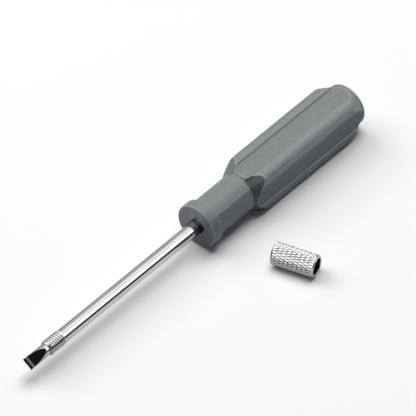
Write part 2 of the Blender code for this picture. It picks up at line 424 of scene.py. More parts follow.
@dataclass(frozen=True)
class Finish:
    """What every finish has: a name, a colour, a roughness and a Principled shader."""

    name: str
    color: Triple
    roughness: float

    def material(self) -> Material:
        """Make a material of this finish.

        Returns:
            The material.
        """
        material = bpy.data.materials.new(self.name)
        material.use_nodes = True
        make = TreeBuilder(material.node_tree)
        make.fill(material.node_tree.nodes["Principled BSDF"], self.inputs(make))
        return material

    def inputs(self, make: TreeBuilder) -> Inputs:
        """Return what goes into the Principled shader."""
        raise NotImplementedError

    def tint(self, factor: float) -> tuple[float, float, float, float]:
        """Return the colour, lighter or darker by a factor, as RGBA."""
        return (*(part * factor for part in self.color), 1.0)

    def ground(self, make: TreeBuilder, cloud: NodeSocket, span: Span, tints: Span) -> NodeSocket:
        """Return the colour, which changes from one factor to another over a range of noise."""
        return make.mix(make.range(cloud, span), self.tint(tints[0]), self.tint(tints[1]))

    @staticmethod
    def mark(make: TreeBuilder, mark: Mark) -> NodeSocket:
        """Return the value of one of the mesh's marks."""
        return make.out("ShaderNodeAttribute", {}, "Fac", attribute_name=mark.value)

    @staticmethod
    def bump(make: TreeBuilder, height: NodeSocket, depth: float, strength: float) -> NodeSocket:
        """Return a normal that noise bumps, by a depth in metres, of which a share shows."""
        return make.out("ShaderNodeBump", {"Strength": strength, "Distance": depth, "Height": height})


@dataclass(frozen=True)
class MouldedPlastic(Finish):
    """Grey moulded plastic: a fine eroded grain and faint flow streaks, lighter on worn edges and where
    painted highlight and painted light are marked, darker where painted shade is marked.
    """

    mottle: Grain = Grain(420.0, 4.0)
    streak: Grain = Grain(672.0, 3.0, (0.05, 1.0, 1.0))
    cloud_span: Span = (0.35, 0.65)
    cloud_tints: Span = (0.94, 1.06)
    grain: Grain = Grain(5200.0, 3.0)
    grain_depth: float = 0.00004
    grain_strength: float = 0.35
    rub_span: Span = (0.3, 0.6)
    rub_ends: Span = (0.8, 1.0)
    rub_gloss: float = 0.08
    # Colour of worn edges and of painted highlight and painted light.
    polish: Triple = (0.355, 0.372, 0.372)
    # Share of the colour where painted shade is marked.
    dirt_tint: float = 0.35
    rough_swing: float = 0.14

    def inputs(self, make: TreeBuilder) -> Inputs:
        """Add the finish's nodes.

        Args:
            make: Builder of the material's tree.

        Returns:
            What goes into the Principled shader.
        """
        mottle = self.mottle.add(make)
        cloud = make.math("MULTIPLY", make.math("ADD", mottle, self.streak.add(make)), 0.5)
        ground = self.ground(make, cloud, self.cloud_span, self.cloud_tints)
        patches = make.range(mottle, self.rub_span, self.rub_ends)
        rub = make.math("MULTIPLY", self.mark(make, Mark.WEAR), patches)
        # Lighter colour for worn edges, and painted highlight and painted light on the seam, the collar and
        # the grip's bands and walls.
        rubbed = make.mix(rub, ground, (*self.polish, 1.0))
        # Darker colour: mostly painted shade in the socket, on the collar and the shoulder, and the grip's
        # darker upright sides.
        color = make.mix(self.mark(make, Mark.GRIME), rubbed, self.tint(self.dirt_tint))
        rough = make.math("MULTIPLY_ADD", mottle, self.rough_swing, self.roughness - self.rough_swing / 2)
        rough = make.math("SUBTRACT", rough, make.math("MULTIPLY", rub, self.rub_gloss))
        normal = self.bump(make, self.grain.add(make), self.grain_depth, self.grain_strength)
        return {"Base Color": color, "Roughness": rough, "Normal": normal}


@dataclass(frozen=True)
class BrightPlate(Finish):
    """Bright plated steel: fine polishing lines and a little haze; marked places are rougher and darker, as
    duller plating together with painted shade in the grooves, and as painted shade on the bar by the collar
    and on the sleeve's underside.
    """

    cloud: Grain = Grain(160.0, 4.0)
    cloud_span: Span = (0.35, 0.7)
    cloud_tints: Span = (1.0, 0.93)
    lines: Grain = Grain(900.0, 2.0, (12.0, 1.0, 1.0))
    line_depth: float = 0.000004
    line_strength: float = 0.3
    haze_span: Span = (0.4, 0.75)
    haze: float = 0.05
    # Share of the colour where painted shade and duller plating are marked.
    dull_tint: float = 0.15
    dull_rough: float = 0.25

    def inputs(self, make: TreeBuilder) -> Inputs:
        """Add the finish's nodes.

        Args:
            make: Builder of the material's tree.

        Returns:
            What goes into the Principled shader.
        """
        cloud = self.cloud.add(make)
        ground = self.ground(make, cloud, self.cloud_span, self.cloud_tints)
        dull = self.mark(make, Mark.GRIME)
        # Darker colour: painted shade, and in grooves also duller plating.
        color = make.mix(dull, ground, self.tint(self.dull_tint))
        rough = make.math("MULTIPLY_ADD", make.range(cloud, self.haze_span), self.haze, self.roughness)
        rough = make.math("MULTIPLY_ADD", dull, self.dull_rough, rough)
        normal = self.bump(make, self.lines.add(make), self.line_depth, self.line_strength)
        return {"Metallic": 1.0, "Base Color": color, "Roughness": rough, "Normal": normal}


@dataclass(frozen=True)
class BlackOxide(Finish):
    """Blackened steel with grinding lines, bare along a worn stripe."""

    fine: Grain = Grain(2600.0, 3.0)
    fine_span: Span = (0.35, 0.7)
    fine_tints: Span = (0.75, 1.5)
    rough_swing: float = 0.15
    rough_drop: float = 0.07
    lines: Grain = Grain(1500.0, 2.0, (8.0, 1.0, 1.0))
    line_depth: float = 0.000006
    line_strength: float = 0.4
    line_span: Span = (0.2, 0.6)
    line_ends: Span = (0.6, 1.0)
    bare: Triple = (0.10, 0.105, 0.11)
    stripe: Span = (0.0, 0.0)
    stripe_edge: float = 0.00018

    def inputs(self, make: TreeBuilder) -> Inputs:
        """Add the finish's nodes.

        Args:
            make: Builder of the material's tree.

        Returns:
            What goes into the Principled shader.
        """
        fine = self.fine.add(make)
        lines = self.lines.add(make)
        ground = self.ground(make, fine, self.fine_span, self.fine_tints)
        x = make.axes(make.place())["X"]
        stripe = make.range(lines, self.line_span, self.line_ends)
        for border, ends in zip(self.stripe, ((0.0, 1.0), (1.0, 0.0))):
            inside = make.range(x, (border - self.stripe_edge, border + self.stripe_edge), ends)
            stripe = make.math("MULTIPLY", stripe, inside)
        color = make.mix(stripe, ground, (*self.bare, 1.0))
        rough = make.math("MULTIPLY_ADD", fine, self.rough_swing, self.roughness - self.rough_drop)
        normal = self.bump(make, lines, self.line_depth, self.line_strength)
        return {"Metallic": 1.0, "Base Color": color, "Roughness": rough, "Normal": normal}


@dataclass(frozen=True)
class PalePaper(Finish):
    """The pale surface that everything lies on, which bright metal sees as a sheet in a dim room."""

    tone: Grain = Grain(14.0, 3.0)
    tone_tint: float = 0.995
    sheet: Span = (0.05, 0.15)
    room_share: float = 0.24
    bounce: Triple = (0.56, 0.64, 0.78)
    gloss: float = 0.1
    backdrop_glow: float = 0.015

    def inputs(self, make: TreeBuilder) -> Inputs:
        """Add the finish's nodes.

        Args:
            make: Builder of the material's tree.

        Returns:
            What goes into the Principled shader.
        """
        paper = make.mix(self.tone.add(make), self.tint(self.tone_tint), self.tint(1.0))
        distance = make.vector("DISTANCE", {0: make.place(), 1: CENTRE}, "Value")
        ray = make.node("ShaderNodeLightPath", {}).outputs
        dim = make.math("MULTIPLY", make.range(distance, self.sheet), ray["Is Glossy Ray"])
        seen = make.mix(dim, paper, self.tint(self.room_share))
        return {
            "Base Color": make.mix(ray["Is Diffuse Ray"], seen, (*self.bounce, 1.0)),
            "Roughness": self.roughness,
            "Specular IOR Level": self.gloss,
            "Emission Color": self.tint(1.0),
            "Emission Strength": make.math("MULTIPLY", ray["Is Camera Ray"], self.backdrop_glow),
        }


PLASTIC = MouldedPlastic("grey_moulded_plastic", (0.166, 0.181, 0.186), 0.46)
CHROME = BrightPlate("bright_chrome", (0.56, 0.565, 0.575), 0.055)
NICKEL = BrightPlate(
    name="bright_nickel",
    color=(0.54, 0.54, 0.536),
    roughness=0.16,
    lines=Grain(900.0, 2.0),
    line_depth=0.000006,
    haze=0.08,
)
BLADE_BLACK = BlackOxide("blackened_blade", (0.0045, 0.0045, 0.005), 0.38, stripe=(0.0008, 0.0017))
# Near-black colour inside the sleeve's threaded bore.
BORE_BLACK = BlackOxide("blackened_bore", (0.008, 0.008, 0.009), 0.5)
PAPER = PalePaper("pale_surface", (0.94, 0.94, 0.935), 0.9)


@dataclass
class Piece:
    """A finished mesh that stands for one node of the frame."""

    node: str
    body: Body
    slot: Slot
    sharp_angle: float = math.radians(40.0)
    groove_margin: float = 1.2
    loft: Loft = field(init=False)

    def place(self, tube: bool = False) -> Object:
        """Put the mesh of the loft into the scene, at the origin.

        Args:
            tube: Whether the loft is a tube.

        Returns:
            The new object.
        """
        mesh = self.loft.mesh(f"{self.node}_shape", tube)
        piece = bpy.data.objects.new(f"{self.node}_finished", mesh)
        bpy.context.scene.collection.objects.link(piece)
        return piece

    def dress(self, piece: Object, main: Material, dark: Material | None = None) -> Object:
        """Give a piece its materials and hand it to the frame.

        Args:
            piece: The finished object.
            main: Material of most faces.
            dark: Material of the faces marked dark, if there are any.

        Returns:
            The piece.
        """
        mesh = piece.data
        mesh.materials.clear()
        mesh.materials.append(main)
        marked = np.zeros(len(mesh.polygons), bool)
        if dark is not None:
            mesh.materials.append(dark)
            mesh.attributes[DARK_FACE].data.foreach_get("value", marked)
        mesh.polygons.foreach_set("material_index", marked.astype(np.int32))
        shape = bmesh.new()
        shape.from_mesh(mesh)
        bmesh.ops.recalc_face_normals(shape, faces=shape.faces[:])
        shape.to_mesh(mesh)
        shape.free()
        mesh.shade_smooth()
        mesh.set_sharp_from_angle(angle=self.sharp_angle)
        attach(piece, self.body.value)
        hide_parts(self.node)
        LOG.info("%s: %d faces on %s", piece.name, len(mesh.polygons), self.body.value)
        return piece

    @staticmethod
    def points(mesh: Mesh) -> Array:
        """Read a mesh's points.

        Args:
            mesh: The mesh.

        Returns:
            The points, one in each row.
        """
        values = np.zeros(3 * len(mesh.vertices), np.float32)
        mesh.vertices.foreach_get("co", values)
        return values.reshape(-1, 3)

    @staticmethod
    def add_grime(mesh: Mesh, grime: Array) -> None:
        """Raise the darkening mark of a mesh's points, where it is lower than the given values.

        Args:
            mesh: The mesh.
            grime: A value for each point.
        """
        marks = np.zeros(len(mesh.vertices), np.float32)
        data = mesh.attributes[Mark.GRIME.value].data
        data.foreach_get("value", marks)
        data.foreach_set("value", np.maximum(marks, grime).astype(np.float32))

    def mark_grooves(self, mesh: Mesh, crest: float, depth: float, span: Span) -> None:
        """Mark the grooves of a raised pattern, which take duller plating and painted shade.

        Args:
            mesh: The mesh, with its axis along X.
            crest: Radius of the pattern's crests.
            depth: Depth of the grooves.
            span: Where the pattern starts and ends along X.
        """
        x, y, z = self.points(mesh).T
        radius = np.hypot(y, z)
        sunk = np.clip((crest - radius) / depth, 0.0, 1.0)
        outer = radius > crest - self.groove_margin * depth
        inside = (x > span[0]) & (x < span[1])
        self.add_grime(mesh, np.where(outer & inside, sunk**2, 0.0))


@dataclass(frozen=True)
class Rub:
    """How much each place of the handle is lightened, from 0 to 1: worn panel edges, lands, shoulder,
    tongue, taper and butt edges; painted highlight along the seam; the collar's rounded edges, partly worn
    and partly painted highlight; and painted light on the upper part of the collar's face.
    """

    panel_edge: float = 0.35
    land: float = 0.18
    shoulder_edge: float = 0.65
    tongue: float = 0.5
    taper_edge: float = 0.45
    # Painted highlight along the parting line.
    seam: float = 0.5
    # Painted light on the upper part of the collar's face.
    collar_face: float = 0.35
    collar_face_turn: float = math.radians(105.0)
    collar_face_power: int = 3
    # Partly worn, partly painted highlight on the collar's rounded edges.
    collar_edge: float = 0.8
    butt_edge: float = 0.42


@dataclass(frozen=True)
class Dirt:
    """How far each place of the handle is darkened, from 0 to 1: painted shade in the socket, round the
    shank and low on the collar's face, behind the collar, in the fold at the neck and on the shoulder's
    cone; the grip's upright sides are also darker towards the shoulder.
    """

    # Painted shade in the socket.
    socket: float = 0.1
    # Painted shade on the collar's face, round the shank and towards the floor.
    collar_middle: float = 0.1
    collar_low: float = 0.28
    collar_low_turn: float = math.radians(260.0)
    # Painted shade in the corner behind the collar and in the neck's fold.
    collar_back: float = 0.3
    shoulder_fold: float = 0.3
    # Painted shade on the shoulder's cone, stronger on the side turned from the light.
    shoulder: float = 0.66
    shoulder_swing: float = 0.70
    # The grip's upright sides are darker towards the shoulder, fading over a length.
    hold: float = 0.24
    hold_length: float = 0.040


@dataclass(frozen=True)
class Socket:
    """The hole in the handle that takes the shank, with a pocket at its mouth."""

    radius: float = 0.0033
    floor: float = 0.0363
    floor_middle: float = 0.00066
    slot_start: float = 0.0027
    slot_end: float = 0.0153
    slot_long: float = 0.0058
    slot_side: float = 0.00155
    grip_radius: float = 0.00302
    grip_gap: float = 0.000015
    pocket_long: float = 0.0045
    pocket_side: float = 0.00305
    pocket_depth: float = 0.0007
    pocket_turn: float = math.radians(124.0)
    corner: float = 0.0008
    bevel: float = 0.00015
    lip_share: float = 1.5

    def outline(self, angle: Array, long: float, side: float, hole: float) -> Array:
        """Return the radius of a rounded slot that crosses a round hole."""
        slot = smooth_min(*slot_edges(angle, long, side), self.corner)
        return smooth_max(slot, np.full_like(angle, hole), self.corner / 4)

    def slot(self, angle: Array) -> Array:
        """Return the radius where the shank's wings sit, by angles round the tool's axis."""
        return self.outline(angle - PARTING, self.slot_long, self.slot_side, self.radius)

    def pocket(self, angle: Array) -> Array:
        """Return the radius of the pocket at the mouth, by angles round the tool's axis."""
        return self.outline(angle - self.pocket_turn, self.pocket_long, self.pocket_side, self.grip_radius)


@dataclass
class Handle(Piece):
    """The moulded handle: collar, neck, shoulder, square grip with panels, and butt.

    A pair of a gain and a width gathers a ring's points, and a shoulder's bulge is a
    change of its slope, the angle from the parting line and the width.
    """

    collar_length: float = 0.0053
    collar_round: float = 0.0007
    dome: float = 0.0001
    neck_length: float = 0.0199
    neck_radius: float = 0.0083
    neck_fillet: float = 0.0004
    shoulder_length: float = 0.0069
    corner_reach: float = 0.01248
    shoulder_fillet: float = 0.0005
    shoulder_flat: Triple = (-0.22, math.radians(-12.0), math.radians(13.0))
    shoulder_steep: Triple = (0.25, math.radians(14.0), math.radians(7.0))
    tongue_share: float = 2.6
    tongue_span: Span = (1.5, 2.0)
    side_share: float = 1.1
    tongue_half: float = math.radians(25.0)
    tongue_edge: float = math.radians(5.0)
    tongue_run_out: float = math.radians(18.0)
    grip_length: float = 0.0507
    facet_reach: float = 0.012475
    facet_round: float = 0.0012
    land_reach: float = 0.0064
    edge_round: float = 0.0004
    rim_span: Span = (-0.3, 1.5)
    taper_rim: float = 0.6
    fold_rim: float = 0.8
    taper_length: float = 0.00655
    butt_inset: float = 0.0005
    butt_step: float = 0.0007
    butt_step_run: float = 0.0005
    butt_fillet: float = 0.0002
    butt_rim: float = 0.00155
    butt_round: float = 0.0014
    panel_depth: float = 0.0007
    panel_half: float = 0.0041
    panel_wall: float = 0.0007
    panel_setback: float = 0.0015
    panel_passes: int = 3
    land_gain: float = 2.5
    # Gain of the painted highlight on the panel walls of the upright sides.
    wall_gain: float = 6.0
    side_gain: float = 4.0
    side_from: float = 0.72
    hold_from: float = 0.6
    halves_apart: float = 0.0006
    # Angles of the bands of painted light below the parting line, on the grip and the rear cone.
    grip_band: float = math.radians(12.0)
    taper_band: float = math.radians(30.0)
    band_edge: float = math.radians(3.0)
    seam_height: float = 0.00007
    seam_width: float = 0.00018
    sides: int = 320
    fine_points: int = 20001
    corner_crowd: Span = (0.8, 0.3)
    seam_crowd: Span = (9.0, 0.03)
    wall_crowd: Span = (2.0, 0.05)
    neck_spacing: float = 0.0009
    edge_spacing: float = 0.0002
    grip_spacing: float = 0.0011
    shoulder_lead: float = 0.0010
    shoulder_trail: float = 0.0050
    taper_lead: float = 0.0020
    face_steps: int = 22
    arc_steps: int = 8
    fillet_steps: int = 4
    butt_steps: int = 9
    back_shares: tuple[float, ...] = (0.5, 0.85)
    end_shares: tuple[float, ...] = (0.9, 0.6, 0.3, 0.06)
    socket: Socket = Socket()
    rub: Rub = Rub()
    dirt: Dirt = Dirt()

    def __post_init__(self) -> None:
        """Take the handle's place from the frame."""
        low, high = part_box(self.node)
        self.front = low.x
        self.end = high.x
        self.half = high.z
        self.neck_start = self.front + self.collar_length
        self.shoulder_start = self.neck_start + self.neck_length
        self.grip_start = self.shoulder_start + self.shoulder_length
        self.grip_end = self.grip_start + self.grip_length
        self.butt_start = self.grip_end + self.taper_length
        self.butt_radius = self.half - self.butt_inset
        self.angles = self.spread_angles()
        self.loft = Loft(self.angles)
        self.across = np.mod(self.angles + EIGHTH_TURN, QUARTER_TURN) - EIGHTH_TURN
        self.upright = np.abs(np.sin(self.angles)) > math.sin(EIGHTH_TURN)
        self.shares = self.shoulder_shares()

    @staticmethod
    def to_seam(angles: Array) -> Array:
        """Return how far angles are from the parting line."""
        return np.mod(angles - PARTING + QUARTER_TURN, math.pi) - QUARTER_TURN

    def spread_angles(self) -> Array:
        """Return the angles of a ring's points, closer together at the corners and at the parting line.

        Returns:
            Angles from 0 to a full turn.
        """
        fine = np.linspace(0.0, FULL_TURN, self.fine_points)
        to_corner = np.mod(fine, QUARTER_TURN) - EIGHTH_TURN
        wall_turn = math.atan2(self.panel_half + self.panel_wall / 2, self.half)
        to_wall = np.abs(to_corner) - EIGHTH_TURN + wall_turn
        places = (to_corner, self.to_seam(fine), to_wall)
        density = np.ones_like(fine)
        for place, (gain, width) in zip(places, (self.corner_crowd, self.seam_crowd, self.wall_crowd)):
            density += gain * bell(place, width)
        total = np.concatenate([[0.0], np.cumsum((density[1:] + density[:-1]) / 2)])
        share = np.arange(self.sides) / self.sides
        return np.interp(share * total[-1], total, fine)

    def halves(self) -> Array:
        """Work out the section of the two mould halves.

        Returns:
            The radius at each angle, 1 at its narrowest and more at the parting line.
        """
        apart = self.halves_apart / self.neck_radius
        wide = 1.0 + apart
        cosine = np.abs(np.cos(self.angles - PARTING + QUARTER_TURN))
        return np.sqrt(wide**2 - apart**2 * (1 - cosine**2)) - apart * cosine

    def seam(self, radius: Values) -> Array:
        """Return the height of the thin flash along the parting line."""
        return self.seam_height * bell(self.to_seam(self.angles) * radius, self.seam_width)

    def on_sides(self, start: float) -> Array:
        """Return 1 on the two upright sides of the grip and 0 elsewhere, from a cosine of the angle on."""
        return smooth_step(self.side_gain * (np.abs(np.cos(self.angles)) - start))

    def square(self, x: float) -> tuple[Array, Array]:
        """Return the grip's radius at a station, with its facetted corners and recessed panels.

        Args:
            x: Place along the tool.

        Returns:
            The radius at each angle, and how much each point is lightened by worn edges and lands and by
            painted highlight and painted light.
        """
        cosine, sine = np.cos(self.across), np.abs(np.sin(self.across))
        flat = self.half / cosine
        facet = self.facet_reach / np.cos(EIGHTH_TURN - np.abs(self.across))
        radius = smooth_min(flat, facet, self.facet_round)
        ahead = max(self.shoulder_start + self.panel_setback + self.panel_half - x, 0.0)
        depth = np.zeros_like(radius)
        for _ in range(self.panel_passes):
            sideways = (radius - depth) * sine
            outside = np.hypot(sideways, ahead) - self.panel_half
            depth = self.panel_depth * smooth_step(1.0 - outside / self.panel_wall)
        sunk = depth / self.panel_depth
        land = smooth_step(self.land_gain * (1.0 - sunk))
        bend = smooth_step((sideways - self.land_reach) / self.facet_round)
        worn = (
            self.rub.panel_edge * nearness(outside, self.panel_wall, self.panel_wall / 2),
            self.rub.land * land * (1.0 - bend),
            # Painted highlight on the panel walls of the upright sides.
            self.on_sides(self.side_from) * smooth_step(self.wall_gain * sunk * (1.0 - sunk)),
            # Painted light on a band below the parting line.
            land * self.rub_band(self.grip_band),
        )
        return radius - depth / cosine, np.maximum.reduce(worn)

    def rub_band(self, width: float) -> Array:
        """Return 1 on a band of painted light below the parting line, of a given angle, and 0 elsewhere."""
        past = np.mod(self.angles - PARTING, math.pi)
        return smooth_step(past / self.band_edge) * smooth_step(1.0 + (width - past) / self.band_edge)

    def shoulder_shares(self) -> Array:
        """Return the shoulder's slope at each angle, as a share of its mean slope.

        Returns:
            Shares that are lower above the parting line, and higher below it and at the flats' front ends.
        """
        to_seam = self.to_seam(self.angles)
        share = np.ones_like(to_seam)
        for change, centre, width in (self.shoulder_flat, self.shoulder_steep):
            share += change * bell(to_seam - centre, width)
        edge = np.where(np.sin(2 * self.angles) < 0.0, self.tongue_edge, self.tongue_run_out)
        tongue = np.where(self.upright, self.tongue_share, self.side_share)
        return share + (tongue - share) * smooth_step((self.tongue_half - np.abs(self.across)) / edge)

    def outside(self, x: float) -> tuple[Array, Array, Array]:
        """Return the handle's radius behind its collar.

        Args:
            x: Place along the tool.

        Returns:
            The radius, the lightening and the darkening at each angle: worn edges, painted highlight,
            painted light, painted shade and the grip's darker sides.
        """
        halves = self.halves()
        neck = self.neck_radius * halves
        rise = self.shares * (self.corner_reach - self.neck_radius) / self.shoulder_length
        fall = (self.corner_reach - self.butt_radius) / self.taper_length
        front_cone = (self.neck_radius + rise * (x - self.shoulder_start)) * halves
        rear_cone = (self.butt_radius + fall * (self.butt_start - x)) * halves
        square, worn = self.square(x)
        body = smooth_min(square, front_cone, self.edge_round)
        body = smooth_min(body, rear_cone, self.edge_round)
        on_square = square < np.minimum(front_cone, rear_cone)
        past_edge = (front_cone - square) / self.edge_round
        rim_from, rim_to = self.rim_span
        rim = smooth_step(1.0 - past_edge / rim_to) * (past_edge > rim_from)
        taper_rim = nearness(square, rear_cone, self.taper_rim * self.edge_round)
        # Painted light on a band of the rear cone below the parting line.
        band = self.rub_band(self.taper_band) * (rear_cone < square)
        rims = (self.rub.shoulder_edge * rim, self.rub.taper_edge * taper_rim)
        wear = np.maximum.reduce([on_square * worn, *rims, band])
        # The grip's upright sides are darker towards the shoulder.
        held = 1.0 - smooth_step((x - self.grip_start) / self.dirt.hold_length)
        grime = self.dirt.hold * held * self.on_sides(self.hold_from) * on_square
        if x < self.grip_start + self.shoulder_length / 2:
            radius = smooth_max(neck, body, self.shoulder_fillet)
            cone = (front_cone < square) * (front_cone > neck)
            low, high = self.tongue_span
            tongue = self.upright * smooth_step((self.shares / self.shares.min() - low) / (high - low))
            # Painted shade in the fold at the neck and on the shoulder's cone, darker on the side turned
            # from the light.
            fold = nearness(neck, front_cone, self.fold_rim * self.shoulder_fillet)
            side = self.dirt.shoulder * (1.0 - self.dirt.shoulder_swing * np.cos(self.angles))
            shaded = np.maximum(self.dirt.shoulder_fold * fold, side * cone)
            grime = np.maximum(grime, shaded * (1.0 - tongue))
            wear = np.maximum(wear, self.rub.tongue * cone * tongue)
            wear = np.where(neck > body, 0.0, wear)
        else:
            lift = smooth_step(1.0 + (x - self.butt_start) / self.butt_step_run)
            radius = smooth_max(body, self.butt_radius - self.butt_step * (1.0 - lift), self.butt_fillet)
        seam = self.seam(radius)
        # The flash along the parting line is given painted highlight.
        return radius + seam, np.maximum(wear, self.rub.seam * seam / self.seam_height), grime

    def add_socket(self) -> None:
        """Add the rings of the socket, from its floor to the collar's face."""
        socket = self.socket
        slot = socket.slot(self.angles)
        pocket = socket.pocket(self.angles)
        pocket_floor = np.maximum(pocket - socket.bevel, socket.grip_radius + socket.grip_gap)
        floor_x = self.end - socket.floor
        slot_far = self.front + socket.slot_end
        slot_near = self.front + socket.slot_start
        pocket_x = self.front + socket.pocket_depth
        steps = (
            (floor_x, socket.floor_middle),
            (floor_x, socket.radius),
            (slot_far, socket.radius),
            (slot_far, slot),
            (slot_near, slot),
            (slot_near, socket.grip_radius),
            (pocket_x, socket.grip_radius),
            (pocket_x, (socket.grip_radius + 2 * pocket_floor) / 3),
            (pocket_x, pocket_floor),
            (pocket_x - socket.bevel, pocket),
            (self.front + socket.lip_share * socket.bevel, pocket),
        )
        for x, radius in steps:
            # Painted shade all through the socket.
            self.loft.turn(x, radius, grime=self.dirt.socket)

    def add_collar(self) -> None:
        """Add the rings of the collar's face, rim and back."""
        inner = self.socket.pocket(self.angles) + self.socket.bevel
        rim = self.half - self.collar_round
        # Painted shade on the lower part of the collar's face.
        low = self.dirt.collar_low * (1.0 + np.cos(self.angles - self.dirt.collar_low_turn))
        # Painted light on the upper part of the collar's face.
        top = np.maximum(np.cos(self.angles - self.rub.collar_face_turn), 0.0) ** self.rub.collar_face_power
        for step in range(self.face_steps):
            share = step / self.face_steps
            radius = inner + (rim - inner) * share
            x = self.front + self.dome * (radius / rim) ** 2
            # Painted shade round the shank, fading towards the rim, added to the shade below.
            grime = self.dirt.collar_middle * (1 - share) + low
            self.loft.turn(x, radius, wear=self.rub.collar_face * top, grime=grime)
        front_centre = self.front + self.dome + self.collar_round
        back_centre = self.neck_start - self.collar_round
        for centre, first in ((front_centre, math.pi), (back_centre, QUARTER_TURN)):
            for turn in np.linspace(first, first - QUARTER_TURN, self.arc_steps + 1):
                radius = rim + self.collar_round * math.sin(turn)
                # Partly worn, partly painted highlight on the collar's rounded edges.
                wear = self.rub.collar_edge * (1.0 - abs(turn - first + EIGHTH_TURN) / EIGHTH_TURN)
                x = centre + self.collar_round * math.cos(turn)
                self.loft.turn(x, radius + self.seam(radius) * math.sin(turn), wear=wear)

    def add_grip(self) -> None:
        """Add the rings of the neck, shoulder, grip and taper."""
        neck = self.outside(self.neck_start)[0]
        back = self.half - self.collar_round
        # Painted shade in the corner behind the collar.
        grime = self.dirt.collar_back
        for share in self.back_shares:
            radius = back + (neck + self.neck_fillet - back) * share
            self.loft.turn(self.neck_start, radius, grime=grime * share)
        for turn in np.linspace(0.0, QUARTER_TURN, self.fillet_steps + 1):
            x = self.neck_start + self.neck_fillet * (1 - math.cos(turn))
            self.loft.turn(x, neck + self.neck_fillet * (1 - math.sin(turn)), grime=grime)
        borders = (
            self.neck_start + 2 * self.neck_fillet,
            self.shoulder_start - self.shoulder_lead,
            self.grip_start + self.shoulder_trail,
            self.grip_end - self.taper_lead,
            self.butt_start,
            self.butt_start + self.butt_rim,
        )
        fine = self.edge_spacing
        spacings = (self.neck_spacing, fine, self.grip_spacing, fine, fine)
        for start, stop, spacing in zip(borders, borders[1:], spacings):
            count = max(1, round((stop - start) / spacing))
            for x in np.linspace(start, stop, count, endpoint=False):
                radius, wear, grime = self.outside(x)
                self.loft.turn(x, radius, wear=wear, grime=grime)

    def add_butt(self) -> None:
        """Add the rings of the butt's round rim and flat end."""
        centre = self.end - self.butt_round
        for turn in np.linspace(0.0, QUARTER_TURN, self.butt_steps + 1):
            radius = self.butt_radius - self.butt_round * (1 - math.cos(turn))
            radius = radius + self.seam(radius) * math.cos(turn)
            wear = self.rub.butt_edge * math.sin(2 * turn)
            self.loft.turn(centre + self.butt_round * math.sin(turn), radius, wear=wear)
        for share in self.end_shares:
            self.loft.turn(self.end, (self.butt_radius - self.butt_round) * share)

    def build(self) -> Object:
        """Build the handle.

        Returns:
            The finished object.
        """
        self.add_socket()
        self.add_collar()
        self.add_grip()
        self.add_butt()
        return self.dress(self.place(), PLASTIC.material())


